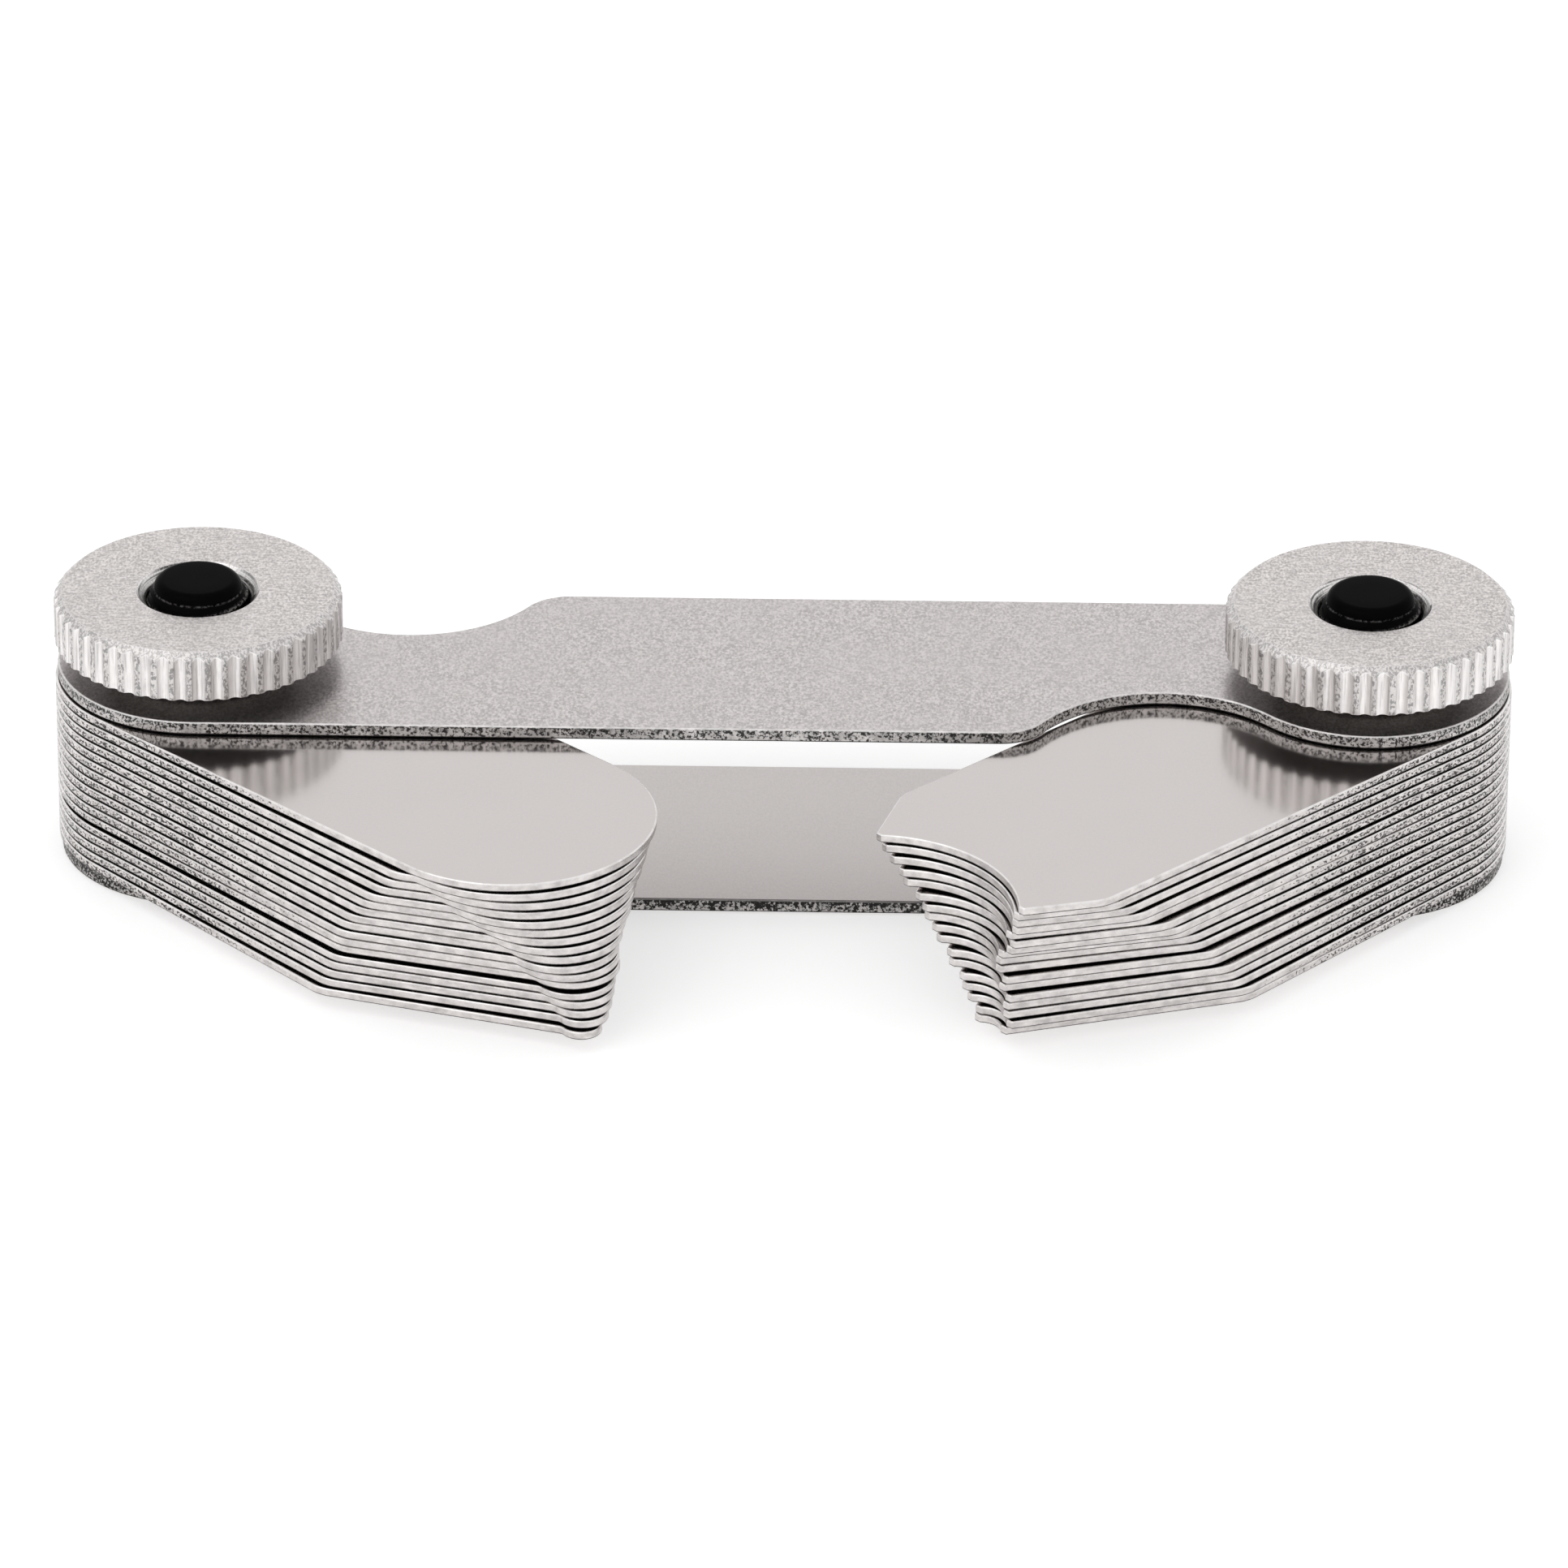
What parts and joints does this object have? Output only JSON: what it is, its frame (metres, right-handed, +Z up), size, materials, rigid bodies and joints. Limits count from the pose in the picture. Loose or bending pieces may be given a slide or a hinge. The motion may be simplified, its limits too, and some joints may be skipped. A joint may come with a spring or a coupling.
{
  "type": "radius gauge",
  "caption": "Folding radius gauge: convex and concave steel blades from 1 to 7 mm on pivot studs between thin cover plates, clamped by knurled nuts.",
  "frame": {"origin": "middle of the holder's underside, halfway between the two pivots", "axes": "+X along the holder from the convex blades' pivot to the concave blades' pivot, +Z up along the pivots towards the nuts, +Y to the back, away from the swung-out blades"},
  "size_m": [0.0708, 0.03, 0.0143],
  "materials": {
    "plate": "satin stainless steel with a fine blasted grain",
    "blade": "smooth bright spring steel, tumbled edges",
    "nut": "bead-blasted bright steel",
    "collar": "plain turned steel",
    "stud": "black oxide, glossy"
  },
  "bodies": {
    "holder": {"bottom_plate": "plate", "top_plate": "plate", "left_stud": "stud", "right_stud": "stud"},
    "left_collar": {"left_collar": "collar"},
    "left_nut": {"left_nut": "nut"},
    "right_collar": {"right_collar": "collar"},
    "right_nut": {"right_nut": "nut"},
    "convex_7p00": {"convex_blade_7p00": "blade"},
    "concave_7p00": {"concave_blade_7p00": "blade"},
    "convex_6p50": {"convex_blade_6p50": "blade"},
    "concave_6p50": {"concave_blade_6p50": "blade"},
    "convex_6p00": {"convex_blade_6p00": "blade"},
    "concave_6p00": {"concave_blade_6p00": "blade"},
    "convex_5p50": {"convex_blade_5p50": "blade"},
    "concave_5p50": {"concave_blade_5p50": "blade"},
    "convex_5p00": {"convex_blade_5p00": "blade"},
    "concave_5p00": {"concave_blade_5p00": "blade"},
    "convex_4p50": {"convex_blade_4p50": "blade"},
    "concave_4p50": {"concave_blade_4p50": "blade"},
    "convex_4p00": {"convex_blade_4p00": "blade"},
    "concave_4p00": {"concave_blade_4p00": "blade"},
    "convex_3p50": {"convex_blade_3p50": "blade"},
    "concave_3p50": {"concave_blade_3p50": "blade"},
    "convex_3p00": {"convex_blade_3p00": "blade"},
    "concave_3p00": {"concave_blade_3p00": "blade"},
    "convex_2p75": {"convex_blade_2p75": "blade"},
    "concave_2p75": {"concave_blade_2p75": "blade"},
    "convex_2p50": {"convex_blade_2p50": "blade"},
    "concave_2p50": {"concave_blade_2p50": "blade"},
    "convex_2p25": {"convex_blade_2p25": "blade"},
    "concave_2p25": {"concave_blade_2p25": "blade"},
    "convex_2p00": {"convex_blade_2p00": "blade"},
    "concave_2p00": {"concave_blade_2p00": "blade"},
    "convex_1p75": {"convex_blade_1p75": "blade"},
    "concave_1p75": {"concave_blade_1p75": "blade"},
    "convex_1p50": {"convex_blade_1p50": "blade"},
    "concave_1p50": {"concave_blade_1p50": "blade"},
    "convex_1p25": {"convex_blade_1p25": "blade"},
    "concave_1p25": {"concave_blade_1p25": "blade"},
    "convex_1p00": {"convex_blade_1p00": "blade"},
    "concave_1p00": {"concave_blade_1p00": "blade"}
  },
  "joints": [
    {"name": "left_nut_turn", "type": "hinge", "parent": "holder", "child": "left_collar", "pos_m": [-0.0284, 0, 0.01007], "axis": [0, 0, 1], "range_deg": [0, 720]},
    {"name": "left_nut_lift", "type": "slide", "parent": "left_collar", "child": "left_nut", "axis": [0, 0, 1], "range_m": [0, 0.0016]},
    {"name": "right_nut_turn", "type": "hinge", "parent": "holder", "child": "right_collar", "pos_m": [0.0284, 0, 0.01007], "axis": [0, 0, 1], "range_deg": [0, 720]},
    {"name": "right_nut_lift", "type": "slide", "parent": "right_collar", "child": "right_nut", "axis": [0, 0, 1], "range_m": [0, 0.0016]},
    {"name": "convex_7p00_swing", "type": "hinge", "parent": "holder", "child": "convex_7p00", "pos_m": [-0.0284, 0, 0.00911], "axis": [0, 0, 1], "continuous": true},
    {"name": "concave_7p00_swing", "type": "hinge", "parent": "holder", "child": "concave_7p00", "pos_m": [0.0284, 0, 0.00911], "axis": [0, 0, 1], "continuous": true},
    {"name": "convex_6p50_swing", "type": "hinge", "parent": "holder", "child": "convex_6p50", "pos_m": [-0.0284, 0, 0.0086], "axis": [0, 0, 1], "continuous": true},
    {"name": "concave_6p50_swing", "type": "hinge", "parent": "holder", "child": "concave_6p50", "pos_m": [0.0284, 0, 0.0086], "axis": [0, 0, 1], "continuous": true},
    {"name": "convex_6p00_swing", "type": "hinge", "parent": "holder", "child": "convex_6p00", "pos_m": [-0.0284, 0, 0.00809], "axis": [0, 0, 1], "continuous": true},
    {"name": "concave_6p00_swing", "type": "hinge", "parent": "holder", "child": "concave_6p00", "pos_m": [0.0284, 0, 0.00809], "axis": [0, 0, 1], "continuous": true},
    {"name": "convex_5p50_swing", "type": "hinge", "parent": "holder", "child": "convex_5p50", "pos_m": [-0.0284, 0, 0.00758], "axis": [0, 0, 1], "continuous": true},
    {"name": "concave_5p50_swing", "type": "hinge", "parent": "holder", "child": "concave_5p50", "pos_m": [0.0284, 0, 0.00758], "axis": [0, 0, 1], "continuous": true},
    {"name": "convex_5p00_swing", "type": "hinge", "parent": "holder", "child": "convex_5p00", "pos_m": [-0.0284, 0, 0.00707], "axis": [0, 0, 1], "continuous": true},
    {"name": "concave_5p00_swing", "type": "hinge", "parent": "holder", "child": "concave_5p00", "pos_m": [0.0284, 0, 0.00707], "axis": [0, 0, 1], "continuous": true},
    {"name": "convex_4p50_swing", "type": "hinge", "parent": "holder", "child": "convex_4p50", "pos_m": [-0.0284, 0, 0.00656], "axis": [0, 0, 1], "continuous": true},
    {"name": "concave_4p50_swing", "type": "hinge", "parent": "holder", "child": "concave_4p50", "pos_m": [0.0284, 0, 0.00656], "axis": [0, 0, 1], "continuous": true},
    {"name": "convex_4p00_swing", "type": "hinge", "parent": "holder", "child": "convex_4p00", "pos_m": [-0.0284, 0, 0.00605], "axis": [0, 0, 1], "continuous": true},
    {"name": "concave_4p00_swing", "type": "hinge", "parent": "holder", "child": "concave_4p00", "pos_m": [0.0284, 0, 0.00605], "axis": [0, 0, 1], "continuous": true},
    {"name": "convex_3p50_swing", "type": "hinge", "parent": "holder", "child": "convex_3p50", "pos_m": [-0.0284, 0, 0.00553], "axis": [0, 0, 1], "continuous": true},
    {"name": "concave_3p50_swing", "type": "hinge", "parent": "holder", "child": "concave_3p50", "pos_m": [0.0284, 0, 0.00553], "axis": [0, 0, 1], "continuous": true},
    {"name": "convex_3p00_swing", "type": "hinge", "parent": "holder", "child": "convex_3p00", "pos_m": [-0.0284, 0, 0.00502], "axis": [0, 0, 1], "continuous": true},
    {"name": "concave_3p00_swing", "type": "hinge", "parent": "holder", "child": "concave_3p00", "pos_m": [0.0284, 0, 0.00502], "axis": [0, 0, 1], "continuous": true},
    {"name": "convex_2p75_swing", "type": "hinge", "parent": "holder", "child": "convex_2p75", "pos_m": [-0.0284, 0, 0.00451], "axis": [0, 0, 1], "continuous": true},
    {"name": "concave_2p75_swing", "type": "hinge", "parent": "holder", "child": "concave_2p75", "pos_m": [0.0284, 0, 0.00451], "axis": [0, 0, 1], "continuous": true},
    {"name": "convex_2p50_swing", "type": "hinge", "parent": "holder", "child": "convex_2p50", "pos_m": [-0.0284, 0, 0.004], "axis": [0, 0, 1], "continuous": true},
    {"name": "concave_2p50_swing", "type": "hinge", "parent": "holder", "child": "concave_2p50", "pos_m": [0.0284, 0, 0.004], "axis": [0, 0, 1], "continuous": true},
    {"name": "convex_2p25_swing", "type": "hinge", "parent": "holder", "child": "convex_2p25", "pos_m": [-0.0284, 0, 0.00349], "axis": [0, 0, 1], "continuous": true},
    {"name": "concave_2p25_swing", "type": "hinge", "parent": "holder", "child": "concave_2p25", "pos_m": [0.0284, 0, 0.00349], "axis": [0, 0, 1], "continuous": true},
    {"name": "convex_2p00_swing", "type": "hinge", "parent": "holder", "child": "convex_2p00", "pos_m": [-0.0284, 0, 0.00298], "axis": [0, 0, 1], "continuous": true},
    {"name": "concave_2p00_swing", "type": "hinge", "parent": "holder", "child": "concave_2p00", "pos_m": [0.0284, 0, 0.00298], "axis": [0, 0, 1], "continuous": true},
    {"name": "convex_1p75_swing", "type": "hinge", "parent": "holder", "child": "convex_1p75", "pos_m": [-0.0284, 0, 0.00248], "axis": [0, 0, 1], "continuous": true},
    {"name": "concave_1p75_swing", "type": "hinge", "parent": "holder", "child": "concave_1p75", "pos_m": [0.0284, 0, 0.00248], "axis": [0, 0, 1], "continuous": true},
    {"name": "convex_1p50_swing", "type": "hinge", "parent": "holder", "child": "convex_1p50", "pos_m": [-0.0284, 0, 0.00197], "axis": [0, 0, 1], "continuous": true},
    {"name": "concave_1p50_swing", "type": "hinge", "parent": "holder", "child": "concave_1p50", "pos_m": [0.0284, 0, 0.00197], "axis": [0, 0, 1], "continuous": true},
    {"name": "convex_1p25_swing", "type": "hinge", "parent": "holder", "child": "convex_1p25", "pos_m": [-0.0284, 0, 0.00145], "axis": [0, 0, 1], "continuous": true},
    {"name": "concave_1p25_swing", "type": "hinge", "parent": "holder", "child": "concave_1p25", "pos_m": [0.0284, 0, 0.00145], "axis": [0, 0, 1], "continuous": true},
    {"name": "convex_1p00_swing", "type": "hinge", "parent": "holder", "child": "convex_1p00", "pos_m": [-0.0284, 0, 0.00094], "axis": [0, 0, 1], "continuous": true},
    {"name": "concave_1p00_swing", "type": "hinge", "parent": "holder", "child": "concave_1p00", "pos_m": [0.0284, 0, 0.00094], "axis": [0, 0, 1], "continuous": true}
  ],
  "couplings": [
    {"joint": "left_nut_turn", "follows": "left_nut_lift", "rad_per_m": 7854},
    {"joint": "right_nut_turn", "follows": "right_nut_lift", "rad_per_m": 7854}
  ]
}
